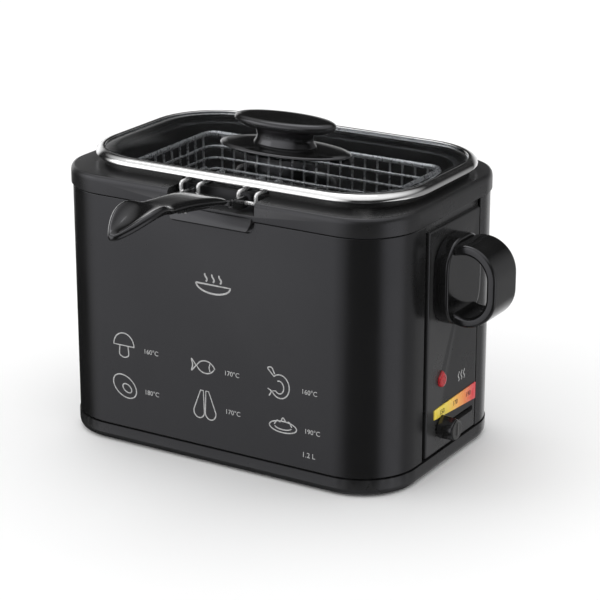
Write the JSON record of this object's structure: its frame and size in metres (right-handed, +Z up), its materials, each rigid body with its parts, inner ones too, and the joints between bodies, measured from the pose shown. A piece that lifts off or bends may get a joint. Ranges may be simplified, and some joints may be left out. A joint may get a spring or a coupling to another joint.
{
  "type": "deep fryer",
  "caption": "Compact household deep fryer: black steel-wrapped body, fixed oil bowl, lift-out wire basket with hinged handle, glass lid with oval knob, side carry loop, sliding heat control.",
  "frame": {"origin": "on the table plane under the middle of the steel body", "axes": "+X towards the control panel and carry handle, -Y towards the front with the basket handle, +Z up"},
  "size_m": [0.2727, 0.256, 0.1988],
  "materials": {
    "painted_steel": "satin black",
    "body_plastic": "fine satin",
    "foot_rubber": "matte",
    "bright_steel": "brushed",
    "nonstick_coating": "matte speckled",
    "bare_aluminium": "satin",
    "element_sheath": "oxidised",
    "ceramic": "matte",
    "knob_grey": "satin",
    "brass_tag": "satin",
    "lead_brown": "satin",
    "lead_blue": "satin",
    "lamp_glass": "clear",
    "red_lens": "glossy",
    "scale_print": "printed",
    "gloss_black": "glossy",
    "basket_wire": "bright",
    "polished_steel": "polished",
    "tempered_glass": "clear"
  },
  "bodies": {
    "root": {"outer_shell": "painted_steel", "rear_shell": "painted_steel", "control_panel": "body_plastic", "base_moulding": "body_plastic", "rubber_feet": "foot_rubber", "base_screws": "bright_steel", "top_collar": "body_plastic", "tie_tubes": "bright_steel", "oil_bowl": "nonstick_coating", "heat_spreader": "bare_aluminium", "heating_element": "element_sheath", "element_clamps": "bright_steel", "heat_shield": "bright_steel", "shield_posts": "bright_steel", "thermostat_body": "ceramic", "thermostat_bracket": "bright_steel", "thermal_cutout": "ceramic", "terminal_block": "ceramic", "earth_tag": "brass_tag", "supply_lead": "lead_brown", "element_lead": "lead_brown", "return_lead": "lead_blue", "lamp_lead": "lead_blue", "indicator_lamp": "lamp_glass", "indicator_lens": "red_lens", "temperature_scale": "scale_print", "carry_handle": "gloss_black", "handle_pedestal": "gloss_black", "handle_screws": "bright_steel", "cord_gland": "foot_rubber"},
    "temperature_slider": {"slider_knob": "knob_grey", "slider_carriage": "body_plastic"},
    "thermostat_shaft": {"thermostat_spindle": "bright_steel", "thermostat_lever": "bright_steel"},
    "basket": {"basket_left_mesh": "basket_wire", "basket_right_mesh": "basket_wire", "basket_front_mesh": "basket_wire", "basket_back_mesh": "basket_wire", "basket_floor_mesh": "basket_wire", "basket_rim": "basket_wire", "bracket_wires": "basket_wire"},
    "basket_grip": {"basket_handle": "gloss_black", "handle_underplate": "gloss_black", "underplate_screw": "bright_steel"},
    "lid": {"lid_ring": "polished_steel", "lid_glass": "tempered_glass", "knob_seal": "foot_rubber", "knob_base": "gloss_black", "knob_stem": "gloss_black", "knob_cap": "gloss_black", "knob_washer": "bright_steel", "knob_screw": "bright_steel"}
  },
  "joints": [
    {"name": "basket_lift", "type": "slide", "parent": "root", "child": "basket", "axis": [0, 0, 1], "range_m": [0, 0.12]},
    {"name": "lid_lift", "type": "slide", "parent": "basket", "child": "lid", "axis": [0, 0, 1], "range_m": [0, 0.1]},
    {"name": "handle_hinge", "type": "hinge", "parent": "basket", "child": "basket_grip", "pos_m": [0, -0.0695, 0.1665], "axis": [-1, 0, 0], "range_deg": [0, 75]},
    {"name": "temperature_slide", "type": "slide", "parent": "root", "child": "temperature_slider", "axis": [0, 1, 0], "range_m": [0, 0.038]},
    {"name": "thermostat_turn", "type": "hinge", "parent": "root", "child": "thermostat_shaft", "pos_m": [0.064, 0.009, 0.025], "axis": [0, 0, 1], "range_deg": [0, 51]}
  ],
  "couplings": [
    {"joint": "thermostat_turn", "follows": "temperature_slide", "rad_per_m": 23.33}
  ]
}
